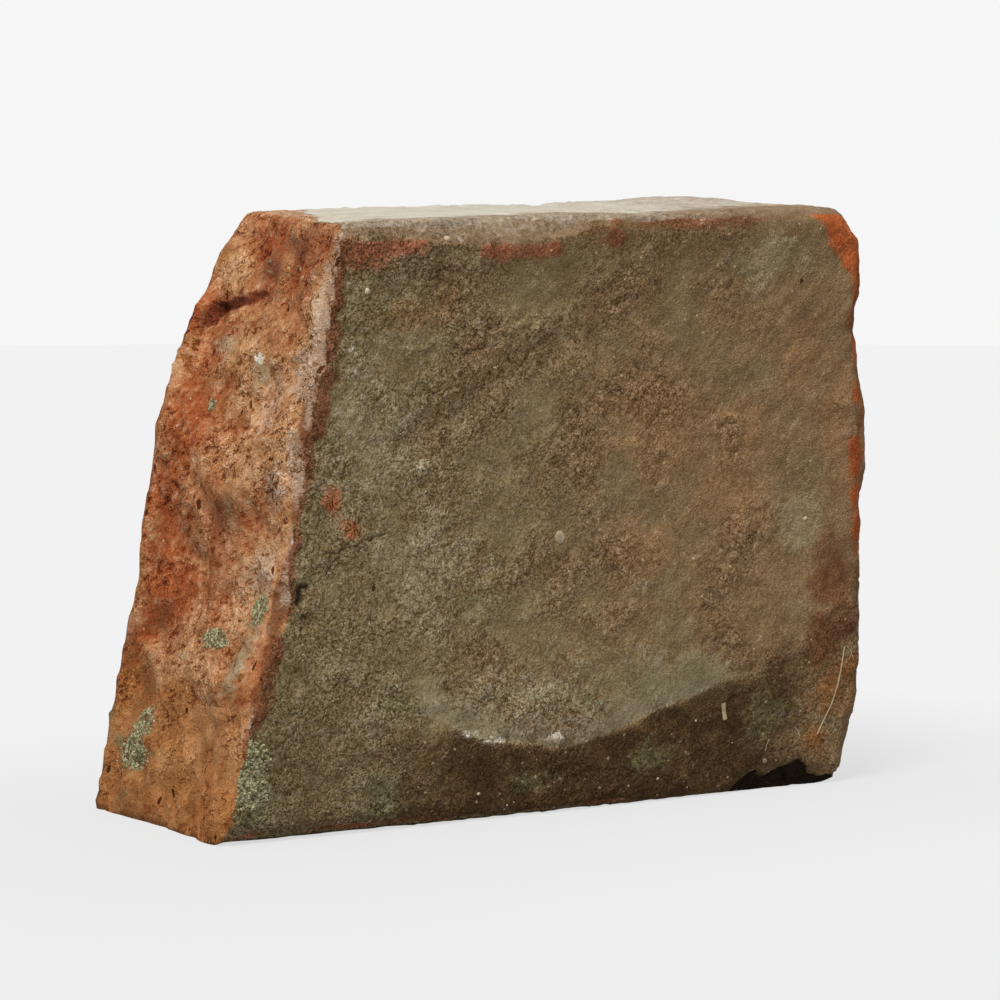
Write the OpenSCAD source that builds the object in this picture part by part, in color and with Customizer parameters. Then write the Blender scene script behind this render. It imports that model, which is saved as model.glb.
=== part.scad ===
// Old hand-moulded clay brick, broken across, standing on its long edge.
// X runs along its length from the break to the sound end, Y from the front
// bed face to the back one, and Z up its width. The origin is on the ground,
// under the middle of the brick.

/* [Brick] */
// Length that is left, along the edge it stands on
length = 138; // [110:1:180]
// Width of the bed faces, which is its height as it stands
width = 107; // [95:1:125]
// Thickness between the two bed faces
thickness = 52; // [42:1:70]

/* [Worn edges] */
// Radius of the long edges
long_edge_r = 3.5; // [1.5:0.25:6]
// Radius of the upright edges of the sound end
end_edge_r = 4; // [1.5:0.25:7]
// Radius of the corners of the bed faces at the sound end
end_corner_r = 8; // [3:0.5:12]

/* [Front bed face] */
// Length of the shallow oval hollow
hollow_l = 128; // [80:1:150]
// Height of the hollow
hollow_h = 95; // [60:1:110]
// Depth of the hollow at its middle
hollow_depth = 2.2; // [0.8:0.1:4]
// How far the hollow's middle lies from the middle of the brick, towards the sound end
hollow_shift = 8; // [-10:1:20]
// Height of the hollow's lowest point above the ground
hollow_foot = 12; // [8:1:20]
// Height above which the face is sound, at the sound end: below it the face falls back
fall_h_end = 37; // [20:1:50]
// The same height at the middle of the brick
fall_h_middle = 15; // [6:1:20]
// How far the face has fallen back at the foot of the sound end
fall_depth = 3; // [0.5:0.1:5]

/* [Broken end] */
// How far the break leans in along its front edge, from the ground to the top
lean_front = 24; // [5:0.5:35]
// How far the break leans in along its back edge
lean_back = 21.5; // [5:0.5:35]
// How much further in the back edge of the break starts at the ground
break_skew = 3.5; // [0:0.5:10]
// Height of the knocked-off upper back corner
knock_h = 30; // [10:1:45]
// How much further in the knocked-off corner reaches at the top
knock_in = 10.5; // [0:0.5:15]
// How far the back edge of the break wanders out and in
edge_wander = 2.2; // [0:0.1:3.5]
// How far the break bulges out above its middle
bulge_depth = 1.3; // [0:0.1:3]
// Height of the bulge above the ground
bulge_h = 69; // [40:1:90]
// How far the bulge reaches up and down
bulge_reach = 14; // [8:1:25]
// Depth of the coarse lumps of the break
lump_depth = 2.8; // [0.5:0.1:5]
// Spacing of the lumps
lump_pitch = 13; // [8:0.5:24]
// Depth of the smaller lumps on them
grain_depth = 1.3; // [0:0.1:2.5]
// Spacing of the smaller lumps
grain_pitch = 6.5; // [4:0.5:12]
// Side of one facet of the break
break_cell = 3.6; // [2.8:0.1:8]
// Length of the ledge where a lump has dropped out of the break
ledge_l = 22; // [8:1:24]
// Height of the scar under the ledge, at its tall end near the back
ledge_h = 6.5; // [4:0.5:12]
// How far in the ledge reaches at that end
ledge_depth = 4.5; // [1:0.25:8]
// How much lower the ledge lies at that end
ledge_fall = 3.5; // [0:0.25:6]

/* [Spalls] */
// Length of the long spall on the upper front edge
top_spall_l = 62; // [30:1:80]
// How deep the long spall bites into the edge
top_spall_bite = 3.25; // [2:0.25:7]
// Width across the spall on the upper front corner of the sound end
corner_spall_w = 27; // [12:1:36]
// How deep that spall bites into the corner
corner_spall_bite = 5; // [2:0.25:8]
// Width across the notch in the upright edge of the sound end
end_notch_w = 26; // [12:0.5:34]
// How deep the notch bites
end_notch_bite = 3; // [1.5:0.25:4]
// Width across the spall on the lower corner of the sound end
low_spall_w = 30; // [14:1:40]
// How deep the lower spall bites
low_spall_bite = 5; // [1.5:0.25:6]
// Width across the chip in the front edge of the break
break_chip_w = 13; // [6:0.5:18]
// How deep that chip bites
break_chip_bite = 2; // [1:0.25:5]
// Radius of the pockets broken out of the lower front edge
pocket_r = 8; // [5:0.25:11]
// How high the pockets rise up the front face
pocket_rise = 5; // [2:0.25:8]

/* [Hidden] */
$fn = 96;
// Facets of a full turn of the hollow's wide curves
hollow_facets = 1440;

// Overrun of every cut past the surface that it cuts
overrun = 6;

// Places along the length, from the middle of the brick, as shares of half the length
top_spall_share = -0.18;
pocket_shares = [0.68, 0.83];
pocket_size_shares = [1, 0.86];
// Heights on the sound end, as shares of the width
end_notch_height_share = 0.785;
low_spall_height_share = 0.03;
// Height of the chip in the front edge of the break, as a share of the width
break_chip_height_share = 0.39;
// Place of the ledge on the break: how far back its front end lies, and its height
ledge_back_share = 0.52;
ledge_height_share = 0.875;
// Size of the scar at its shallow front end, as a share of its tall end
ledge_taper = 0.15;

// Wander of the back edge: heights as shares of the width, and how far out, as shares of the wander
edge_points = [[0, 0.3], [0.08, 0.25], [0.19, 0.75], [0.31, 0.4], [0.43, -0.2], [0.54, 0.75], [0.63, 0.45],
    [0.71, -0.2], [0.81, 1], [0.87, 0.6], [0.92, 0.75], [0.955, 0.1], [1, 0.6]];

// Random knots of the two layers of lumps on the break
break_seed = 27;
knots = 64;
lump_knots = rands(0, 1, knots * knots, break_seed);
grain_knots = rands(0, 1, knots * knots, break_seed + 1);

brick_colour = "#8c6f4f";

function mix(a, b, t) = a + (b - a) * t;
function ease(t) = t * t * (3 - 2 * t);
function clamp(t) = max(0, min(1, t));

// Radius of the ball that leaves a scar of the given width and depth on a flat face
function scar_radius(across, bite) = (across * across / 4 + bite * bite) / (2 * bite);

// Smooth random surface from 0 to 1, with one knot in each unit square
function lumps(table, a, b) =
    let (i = floor(a), j = floor(b), s = ease(a - i), t = ease(b - j), at = i * knots + j)
    mix(mix(table[at], table[at + knots], s), mix(table[at + 1], table[at + knots + 1], s), t);

// How far in the break lies, at a distance back from the front face and a height
function break_lean(back, height) =
    let (u = clamp(back / thickness),
         v = clamp(height / width),
         k = clamp((height - width + knock_h) / knock_h))
    mix(lean_front * v, break_skew + lean_back * v, u) + knock_in * u * k
    - edge_wander * ease(u) * lookup(v, edge_points)
    - bulge_depth * ease(clamp(1 - abs(height - bulge_h) / bulge_reach)) * ease(clamp(2 * u));
function break_relief(back, height) =
    lump_depth * lumps(lump_knots, (back + overrun) / lump_pitch, (height + overrun) / lump_pitch)
    + grain_depth * lumps(grain_knots, (back + overrun) / grain_pitch, (height + overrun) / grain_pitch);
function break_x(back, height) =
    break_lean(back, height) + break_relief(back, height) - (lump_depth + grain_depth) / 2 - length / 2;

// Rectangle with rounded corners, of squares and circles, centred on the origin
module rounded_rectangle(size, r) {
    square([size.x - 2 * r, size.y], center = true);
    square([size.x, size.y - 2 * r], center = true);
    for (x = [-1, 1], y = [-1, 1])
        translate([x * (size.x / 2 - r), y * (size.y / 2 - r)]) circle(r);
}

// The moulded block with its worn edges: what three rounded outlines share.
// At the break's end it runs past the break.
module worn_block() {
    spare = lean_front + lean_back;
    size = [length + spare, thickness, width];
    middle = [-spare / 2, 0, width / 2];
    translate(middle) intersection() {
        rotate([90, 0, 0]) linear_extrude(thickness, center = true)
            rounded_rectangle([size.x, size.z], end_corner_r);
        rotate([90, 0, 90]) linear_extrude(size.x, center = true)
            rounded_rectangle([size.y, size.z], long_edge_r);
        linear_extrude(size.z, center = true)
            rounded_rectangle([size.x, size.y], end_edge_r);
    }
}

// Slice of a barrel whose belly leaves the oval hollow in the front bed face
module bed_hollow() {
    along = scar_radius(hollow_l, hollow_depth);
    across = scar_radius(hollow_h, hollow_depth);
    sweep = 2 * asin((hollow_l / 2 + overrun) / along);
    slice = [2 * overrun, hollow_h + 2 * overrun];
    belly = [hollow_shift, hollow_depth - thickness / 2, hollow_foot + hollow_h / 2];
    translate([belly.x, belly.y - along, belly.z])
        rotate([0, 0, 90 - sweep / 2]) rotate_extrude(angle = sweep, $fn = hollow_facets)
            intersection() {
                translate([along - across, 0]) circle(across, $fn = hollow_facets);
                translate([along - slice.x, -slice.y / 2]) square(slice);
            }
}

// Wedge that lets the front face fall back towards the ground, deepest at the sound end
module foot_fall() {
    tilt = atan((fall_h_end - fall_h_middle) / (length / 2));
    run = fall_h_end * cos(tilt);
    slope = fall_depth / run;
    translate([0, -thickness / 2, fall_h_middle])
        rotate([0, -tilt, 0]) rotate([90, 0, 90]) linear_extrude(2 * length, center = true) polygon([
            [slope * (run + overrun), -run - overrun],
            [-slope * overrun, overrun],
            [-slope * overrun - overrun, overrun],
            [-slope * overrun - overrun, -run - overrun]
        ]);
}

// What the break has taken away: a block whose inner face is the rough break
module break_cut() {
    columns = ceil((thickness + 2 * overrun) / break_cell);
    rows = ceil((width + 2 * overrun) / break_cell);
    far_x = -length / 2 - lean_front - lean_back - overrun;
    function back_at(i) = -overrun + (thickness + 2 * overrun) * i / columns;
    function height_at(j) = -overrun + (width + 2 * overrun) * j / rows;
    function point_at(i, j) = i * (rows + 1) + j;
    inner = [for (i = [0:columns], j = [0:rows])
        [break_x(back_at(i), height_at(j)), back_at(i) - thickness / 2, height_at(j)]];
    outer = [for (i = [0, columns], j = [0, rows])
        [far_x, back_at(i) - thickness / 2, height_at(j)]];
    o = len(inner);
    polyhedron(concat(inner, outer), concat(
        [for (i = [0:columns - 1], j = [0:rows - 1])
            [point_at(i, j), point_at(i, j + 1), point_at(i + 1, j)]],
        [for (i = [0:columns - 1], j = [0:rows - 1])
            [point_at(i + 1, j), point_at(i, j + 1), point_at(i + 1, j + 1)]],
        [[o, o + 2, o + 3, o + 1]],
        [concat([o + 1], [for (j = [rows:-1:0]) point_at(0, j)], [o])],
        [concat([o + 2], [for (j = [0:rows]) point_at(columns, j)], [o + 3])],
        [concat([o], [for (i = [0:columns]) point_at(i, 0)], [o + 2])],
        [concat([o + 3], [for (i = [columns:-1:0]) point_at(i, rows)], [o + 1])]
    ), convexity = 6);
}

// Cross-section of the scar under the ledge, as a thin slice at a distance back and a height
module ledge_slice(back, height, share) {
    rim_x = break_x(back, height);
    foot_x = break_x(back, height - share * ledge_h);
    translate([0, back - thickness / 2, height])
        rotate([90, 0, 0]) linear_extrude(0.02) polygon([
            [rim_x + share * ledge_depth, 0],
            [rim_x - overrun, 0],
            [foot_x - overrun, -share * ledge_h],
            [foot_x, -share * ledge_h]
        ]);
}

// Scar of a lump that has dropped out of the break, under a ledge: a wedge, tall near the back
module ledge_scar() {
    back = ledge_back_share * thickness;
    height = ledge_height_share * width;
    hull() {
        ledge_slice(back, height, ledge_taper);
        ledge_slice(back + ledge_l, height - ledge_fall, 1);
    }
}

// Ball that bites a scar out of an edge, at a point of it and from the side given
module spall(at, from, across, bite) {
    r = scar_radius(across, bite);
    translate(at + from / norm(from) * (r - bite)) sphere(r);
}

// Spalls on the front edges and on the corners of the sound end
module spalls() {
    front = -thickness / 2;
    end = length / 2;
    spall([top_spall_share * end, front, width], [0, -1, 1], top_spall_l, top_spall_bite);
    spall([end, front, width], [1, -1, 1], corner_spall_w, corner_spall_bite);
    spall([end, front, end_notch_height_share * width], [1, -1, 0], end_notch_w, end_notch_bite);
    spall([end, front, low_spall_height_share * width], [1, -1, 0], low_spall_w, low_spall_bite);
    chip_height = break_chip_height_share * width;
    spall([break_x(0, chip_height), front, chip_height], [-1, -1, 0], break_chip_w, break_chip_bite);
}

// Pockets broken out of the lower front edge, near the sound end
module edge_pockets() {
    for (i = [0:len(pocket_shares) - 1]) {
        r = pocket_r * pocket_size_shares[i];
        translate([pocket_shares[i] * length / 2, -thickness / 2, pocket_rise * pocket_size_shares[i] - r])
            sphere(r);
    }
}

module brick() {
    color(brick_colour) difference() {
        worn_block();
        bed_hollow();
        foot_fall();
        break_cut();
        ledge_scar();
        spalls();
        edge_pockets();
    }
}

brick();
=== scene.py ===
"""Old clay brick, broken across and weathered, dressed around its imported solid."""
import math
import random

import bmesh
import bpy
from mathutils import Matrix, Vector, noise
from mathutils.bvhtree import BVHTree


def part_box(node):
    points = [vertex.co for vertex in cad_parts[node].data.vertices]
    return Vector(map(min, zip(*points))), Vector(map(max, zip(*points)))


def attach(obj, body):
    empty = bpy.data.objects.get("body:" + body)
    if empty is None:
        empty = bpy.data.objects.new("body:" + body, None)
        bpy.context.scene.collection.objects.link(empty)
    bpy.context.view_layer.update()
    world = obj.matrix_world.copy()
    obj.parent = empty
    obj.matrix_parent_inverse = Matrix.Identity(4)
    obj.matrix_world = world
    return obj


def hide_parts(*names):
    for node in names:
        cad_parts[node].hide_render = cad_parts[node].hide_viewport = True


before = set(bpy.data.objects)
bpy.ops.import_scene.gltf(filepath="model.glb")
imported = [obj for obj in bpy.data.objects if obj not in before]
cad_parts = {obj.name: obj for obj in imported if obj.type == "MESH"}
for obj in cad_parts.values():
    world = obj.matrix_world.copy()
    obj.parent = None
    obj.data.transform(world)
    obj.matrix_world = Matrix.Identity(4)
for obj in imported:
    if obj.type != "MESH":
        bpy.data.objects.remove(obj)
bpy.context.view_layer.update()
scene = bpy.context.scene

# The brick: one lump of hand-moulded, fired clay, snapped across. Its form is the
# solid's. A finer mesh takes the unevenness of the moulded skin, the torn grain of
# the break and the wear of the edges, which part.scad leaves smooth.
MM = 0.001
SKIN_CELL = 1.3
WEAR_PASSES = 3
# Without a seed the noise takes its offsets from the clock.
NOISE_SEED = 5
noise.seed_set(NOISE_SEED)
# The break leans in by these lengths over the brick's height and near the top, and turns
# by this slope towards the back. Places left of NEAR_BREAK are close to it.
BREAK_LEAN, TOP_LEAN, BREAK_TURN = 23.0, 4.0, 0.07
NEAR_BREAK = -30.0
low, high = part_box("brick")
front_y, top_z = low.y / MM, high.z / MM

solid = bmesh.new()
solid.from_mesh(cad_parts["brick"].data)
bmesh.ops.remove_doubles(solid, verts=solid.verts, dist=0.001 * MM)
mesh = bpy.data.meshes.new("weathered_brick")
solid.to_mesh(mesh)
solid.free()
brick = bpy.data.objects.new("weathered_brick", mesh)
scene.collection.objects.link(brick)
finer = brick.modifiers.new("finer", "REMESH")
finer.mode = "VOXEL"
finer.voxel_size = SKIN_CELL * MM
rubbed = brick.modifiers.new("rubbed", "SMOOTH")
rubbed.factor = 0.5
rubbed.iterations = WEAR_PASSES
bpy.context.view_layer.update()
worn = brick.evaluated_get(bpy.context.evaluated_depsgraph_get())
mesh = bpy.data.meshes.new_from_object(worn)
brick.modifiers.clear()
brick.data = mesh


def ramp(start, end, value):
    """Smooth step from 0 at start to 1 at end."""
    t = min(1.0, max(0.0, (value - start) / (end - start)))
    return t * t * (3.0 - 2.0 * t)


def along(points, x):
    """Height at x of a line through given points."""
    for (x0, z0), (x1, z1) in zip(points, points[1:]):
        if x <= x1:
            return z0 + (z1 - z0) * max(0.0, (x - x0) / (x1 - x0))
    return points[-1][1]


def spots(places, a, b):
    """Strongest of several soft oval spots at (a, b), each 1 at its middle and 0 at its rim."""
    best = 0.0
    for middle_a, middle_b, reach_a, reach_b in places:
        far = math.hypot((a - middle_a) / reach_a, (b - middle_b) / reach_b)
        best = max(best, 1.0 - far)
    return best


def brokenness(normal, place):
    """1 on the break, 0 on the moulded skin: the break leans in towards the top."""
    lean = BREAK_LEAN * place.z / top_z + BREAK_TURN * (place.y - front_y)
    lean += TOP_LEAN * ramp(75.0, 105.0, place.z)
    inside = min(place.y - front_y, -front_y - place.y, place.z, top_z - place.z)
    facing = max(ramp(0.3, 0.5, -normal.x), ramp(2.0, 4.0, inside))
    return facing * ramp(14.0, 10.0, place.x - low.x / MM - lean)


def facets(p, size):
    """Height of torn facets of the given size: each has a slope of its own."""
    middle = noise.voronoi(p / size)[1][0]
    slope = noise.noise_vector(middle * 9.7)
    return (p / size - middle).dot(slope)


def line_gap(points, x, z):
    """Distance from (x, z) to a line through given points."""
    spot = Vector((x, z))
    best = 1e9
    for start, end in zip(points, points[1:]):
        start, end = Vector(start), Vector(end)
        share = (spot - start).dot(end - start) / (end - start).length_squared
        best = min(best, (spot - start.lerp(end, min(1.0, max(0.0, share)))).length)
    return best


# The front face is cut finer than the hidden ones, the break finer still, and so are
# the ledge on it and the rims of the cracks in the front face, at x and z in mm. The
# ledge's rim falls by LEDGE_FALL towards the back.
LEDGE_TOP, LEDGE_FALL = 94.2, 0.175
CRACKS = (((-49.5, 49.6), (-46.0, 49.9), (-42.0, 51.0), (-36.5, 52.4)),
          ((-46.0, 49.9), (-48.2, 47.4), (-49.2, 46.0)),
          ((-54.6, 40.5), (-54.2, 37.0), (-54.6, 34.0)))
clay = bmesh.new()
clay.from_mesh(mesh)
clay.normal_update()
torn = {v for v in clay.verts if brokenness(v.normal, v.co / MM) > 0.3}
plain = {v for v in clay.verts if v.normal.y < -0.25 and v not in torn}
for cut_verts, cuts in ((plain, 1), (torn, 2)):
    cut_edges = [e for e in clay.edges if e.verts[0] in cut_verts and e.verts[1] in cut_verts]
    bmesh.ops.subdivide_edges(clay, edges=cut_edges, cuts=cuts, use_grid_fill=True)
clay.normal_update()
cracked = {v for v in clay.verts if v.normal.y < -0.5 and v.co.x < NEAR_BREAK * MM
           and min(line_gap(crack, v.co.x / MM, v.co.z / MM) for crack in CRACKS) < 1.2}
ledged = {v for v in clay.verts if v.normal.x < -0.2 and v.co.x < NEAR_BREAK * MM
          and -1 * MM < v.co.y < 24.5 * MM
          and -6.5 * MM < v.co.z + LEDGE_FALL * v.co.y - LEDGE_TOP * MM < 1.5 * MM}
for cut_verts, cuts in ((cracked, 2), (ledged, 1)):
    cut_edges = [e for e in clay.edges if e.verts[0] in cut_verts and e.verts[1] in cut_verts]
    bmesh.ops.subdivide_edges(clay, edges=cut_edges, cuts=cuts, use_grid_fill=True)
clay.normal_update()

# Places on the front face, in mm. A line has points in x and z, and a patch has its
# middle in x and z and its reach either way. Soil clings below RIM, its dark coat partly
# painted shade near the ground. The edge between the front face and the break starts
# at LIP_TOP and slopes outwards to the foot.
# Its foot and its top are drawn out by FOOT_PULL and TOP_PULL.
LIP_TOP, LIP_SLOPE = -46.0, 0.225
FOOT_PULL, TOP_PULL = 2.5, 1.2
# The foot of the face falls back by FOOT_SLOPE, below a line that rises along x.
FOOT_LINE, FOOT_RISE, FOOT_SLOPE = 15.0, 0.32, 0.081
# The corner is bare beyond a line that slopes outwards below CORNER_X at CORNER_Z.
CORNER_X, CORNER_Z, CORNER_SLOPE = 54.5, 106.0, 0.72
# The top is torn left of a line from TORN_TOP at the back, which slopes out to the front.
TORN_TOP, TORN_TOP_SLOPE = -22.0, 0.45
RIM = ((-69, 31), (-47, 25), (-25, 18.2), (-16, 14.3), (1, 11.5), (10, 13.2), (19, 16.1), (28, 18.7),
       (39, 21.8), (53, 28), (69, 42))
RED_PATCHES = ((-40, 102, 9, 5), (-31, 103, 10, 3.5), (-14, 101.4, 11, 3.5), (-3, 101.4, 10, 3.5),
               (12, 102.6, 6, 3), (12, 107, 7, 2.5), (32, 107, 8, 2.5))
RED_SPOTS = ((-47.5, 58, 5.5, 5.5), (-43.5, 54, 5, 4))
HAZE = ((43, 68, 12, 10), (54, 80, 9, 13), (22, 67, 18, 13), (38, 56, 16, 11), (22, 48, 14, 10),
        (-30, 90, 12, 7), (62, 66, 8, 24))
# The last two of these are painted shade: dark bands just under the front face's top edge.
STAINS_AND_EDGE_SHADE = ((62.5, 39, 11, 13), (66, 86, 5, 7), (61, 28, 12, 10), (-12, 104.6, 42, 2.8), (30, 105.6, 34, 2.8))
OCHRE = ((61.5, 18, 9, 11), (64, 21, 8, 8), (58, 9, 6, 6))
PALE_PATCHES = ((-61, 4, 8, 8), (-42, 80, 6, 9), (-38, 66, 18, 17), (-38, 21, 9, 8), (-39, 7, 7, 9),
                (26, 22, 26, 9), (-28, 45, 20, 16), (53, 50, 7, 12), (-6, 20, 32, 9), (46, 98, 12, 7),
                (61, 14, 6, 7))
MOSSY_PLACES = ((46, 14, 11, 11), (20, 8, 11, 5), (-6, 6, 9, 4), (-62, 10, 12, 14), (-64, 5, 6, 9),
                (-38, 7, 8, 9), (-36, 22, 9, 6), (18, 22, 30, 7))
FRONT_CRUST = ((-63.5, 13, 5, 6), (-39, 6.5, 4, 4.5), (-62, 5, 4, 6))
LIMY_SPOTS = ((-43.5, 85, 1.8, 1.3), (-43, 80.5, 2.2, 1.2), (-41.5, 77, 1.5, 1.0), (-36, 79, 1.3, 0.8),
              (-19, 16, 4, 1.6), (-14, 14.3, 5, 1.2), (-1, 14, 3, 1.8), (47, 5.5, 1.0, 1.6))
GROOVED = ((56, 88, 18, 14), (-32, 78, 20, 14))
HOLLOW_LINE = ((-30, 68), (-13, 78), (4, 85))
NOTCH = ((39, -1), (40, 1), (44.5, 3), (46.5, 3.7), (47.4, 2), (48.6, 2), (50.7, 3.8), (53.2, 4.6),
         (55.1, 5.2), (57.5, 2.8), (58.7, 1.4), (60.6, 1.2), (62.9, 1.4), (64.8, 0.6), (67, -1))
CHIP_HOLE = ((-54.8, 42.6, 1.5, 3.4), (-53.7, 44.2, 2.2, 1.3))
# Places on the break, in mm: each patch has its middle in y and z and its reach either way
TAN_PLACES = ((-24, 80, 9, 40), (-20, 45, 9, 18), (-4, 22, 18, 15), (19, 97, 9, 6), (-9, 67, 12, 12),
              (-5, 78, 20, 14), (2, 84, 10, 8), (-16, 34, 8, 13))
DEEP_PLACES = ((17, 58, 14, 26), (3, 102, 15, 6), (-14, 99, 9, 8), (14, 40, 12, 10), (19, 78, 5, 6))
GREY_PLACES = ((-24, 90, 3, 15), (-22, 80, 5, 8), (-23, 64, 3.5, 10), (-20, 45, 3, 8))
DUSTY_PLACES = ((10, 84.5, 10, 6), (-17, 31, 10, 14), (-7, 79, 7, 5))
FADED_PLACES = ((-17, 45, 9, 11), (-19, 60, 6, 10), (-12, 74, 12, 12))
DULL_PLACES = ((-13, 102, 19, 12), (-18, 60, 7, 9), (14, 36, 8, 8), (-4, 56, 9, 6), (23, 28, 6, 15),
               (0, 98, 14, 6), (-11, 14, 7, 5), (-13, 20, 3, 5), (16, 24, 7, 9))
WHITE_SPOT = ((-5.4, 82.4, 2.3, 1.5),)
LICHEN_BEDS = ((-7.6, 33.7, 4.6, 2.8), (12.2, 17, 5.5, 3.4), (14.2, 11.4, 8, 4.4), (8.5, 73.6, 2.2, 1.8),
               (-19.3, 40, 4, 3.5))

names = ("crumbly", "warm", "shade", "haze", "stain_and_shade", "pale", "silt", "mossy", "soil_and_shade", "ochre", "rusty",
         "bare", "broken", "tan", "chalk", "buff", "dust", "lime", "lichen", "scar", "deep")
masks = {name: [0.0] * len(clay.verts) for name in names}
moves = []
for i, v in enumerate(clay.verts):
    p = v.co / MM
    n = v.normal
    broken = brokenness(n, p)
    front = ramp(0.35, 0.75, -n.y)
    edge = ramp(0.06, 0.26, 1.0 - max(abs(n.x), abs(n.y), abs(n.z))) * (1.0 - broken)
    rough = noise.fractal(p / 6.0, 1.0, 2.0, 4)
    patch = noise.fractal(p / 15.0 + Vector((7.1, 2.3, 4.7)), 1.0, 2.0, 3)
    bent = p + 1.3 * noise.noise_vector(p / 4.0)

    # Skin: the unevenness of the mould, crumbs, crevices, cracks, the notch and a nibbled edge
    crumbly = ramp(-0.6, 0.6, patch + 0.35 * rough - 0.012 * p.x)
    near, next_near = noise.voronoi(bent / 4.0)[0][:2]
    crevice = ramp(0.12, 0.0, next_near - near) * ramp(0.0, 0.4, patch + 0.6 * rough)
    skin = 0.35 * noise.noise(p / 21.0) + 0.22 * noise.fractal(p / 6.0, 0.6, 2.0, 5)
    skin += (0.15 + 0.4 * crumbly) * facets(bent, 3.0) - 0.3 * crevice
    skin -= edge * 0.8 * ramp(-0.25, 0.55, noise.fractal(p / 9.0, 1.0, 2.0, 2))
    dip = abs(p.z - along(HOLLOW_LINE, p.x)) if -34.0 < p.x < 12.0 else 20.0
    skin -= front * 0.6 * ramp(6.0, 0.0, dip + 4.0 * patch)
    wiped = noise.noise(Vector(((p.x - p.z) / 1.9, (p.x + p.z) / 10.0, 0.5)))
    skin += front * (0.12 + 0.4 * spots(GROOVED, p.x, p.z) * ramp(-0.4, 0.4, patch)) * wiped
    lip = p.x - LIP_TOP + LIP_SLOPE * (top_z - p.z)
    skin -= front * 0.9 * ramp(5.0, 0.0, lip) * ramp(-0.1, 0.5, rough)
    crack, hole = 9.0, 0.0
    if p.x < NEAR_BREAK and p.z < 60.0 and front > 0.0:
        jag = noise.noise_vector(p / 1.6)
        crack = min(line_gap(points, p.x + 0.6 * jag.x, p.z + 0.6 * jag.z) for points in CRACKS)
        hole = front * ramp(0.0, 0.8, spots(CHIP_HOLE, p.x + 0.8 * jag.x, p.z + 0.8 * jag.z))
    skin -= 0.3 * front * ramp(0.3, 0.05, crack) + 0.9 * hole
    # The outlines of the sound end and the top swell and dip a little.
    swell = ramp(0.5, 0.9, n.x) * (1.1 * ramp(52.0, 60.0, p.z) * ramp(76.0, 68.0, p.z)
                                   - 0.8 * ramp(5.0, 1.0, abs(p.z - 86.0)))
    top_swell = 0.5 * ramp(44.0, 52.0, p.x) - 0.8 * ramp(6.0, 0.0, abs(p.x - 26.0))
    swell += ramp(0.6, 0.9, n.z) * ramp(0.0, 24.0, p.y) * top_swell
    skin += swell
    notch = 0.0
    if 34.0 < p.x < 68.0 and p.z < 8.0 and p.y < -14.0 and n.z < 0.5:
        notch = ramp(0.3, -0.3, p.z - along(NOTCH, p.x) - 0.7 * rough)
        face_y = front_y + FOOT_SLOPE * (FOOT_LINE + FOOT_RISE * p.x - p.z)
        skin -= 0.8 * notch * front

    # Break: torn facets, grain, the hollow under the ledge, and a front edge drawn out at
    # its foot and top
    from_edge = min(p.y - front_y, -front_y - p.y)
    calm = ramp(0.0, 6.0, min(from_edge, p.z))
    drawn = Vector((p.x, 0.6 * p.y + 0.35 * p.z, p.z))
    tear = 1.2 * noise.fractal(p / 12.0, 0.9, 2.0, 3) + 1.6 * facets(bent, 7.0) + 0.6 * facets(bent, 3.0)
    tear += 0.7 * noise.turbulence(drawn / 3.2, 4, True, noise_basis="PERLIN_ORIGINAL",
                                   amplitude_scale=0.55) - 0.4
    under = LEDGE_TOP - LEDGE_FALL * p.y - p.z + 0.1 * rough
    foot = 0.9 + 0.07 * p.y + 1.8 * ramp(19.8, 20.6, p.y) + 0.5 * rough
    across = ramp(-0.5, 1.0, p.y) * ramp(23.2, 22.2, p.y)
    inside = min(under, foot - under, p.y + 0.5, 22.7 - p.y)
    ledge = ramp(-0.3, 0.3, inside)
    recess = ramp(-0.5, 0.9, under) * ramp(foot + 6.0, foot, under) * across
    tear = tear * (0.35 + 0.65 * calm) * (1.0 - 0.7 * ledge)
    back_edge = 1.1 - 0.9 * ramp(9.0, 0.0, abs(p.z - 67.0)) + 0.6 * ramp(6.0, 0.0, abs(p.z - 50.0))
    tear += back_edge * ramp(5.0, 0.0, -front_y - p.y) + 0.4 * ramp(3.0, 0.0, p.z)
    move = n * (skin + (tear - skin) * broken)
    move.x += broken * (0.9 * recess - 0.7 * ramp(18.0, 25.0, p.y) * ramp(8.0, 1.0, p.z))
    move.z -= 1.2 * broken * ramp(3.0, 0.5, p.z)
    foot_pull = FOOT_PULL * ramp(36.0, 4.0, p.z) * ramp(-38.0, -60.0, p.x)
    top_pull = TOP_PULL * ramp(80.0, 100.0, p.z) * ramp(-25.0, -42.0, p.x)
    move.x -= (foot_pull + top_pull) * ramp(0.0, -22.0, p.y)
    if notch > 0.0 and p.y - face_y > 1.5:
        move.y += 0.85 * (face_y + 1.5 - p.y) * ramp(0.2, 0.6, notch) * ramp(-13.0, -16.0, p.y)
    moves.append(move * MM)

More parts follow.
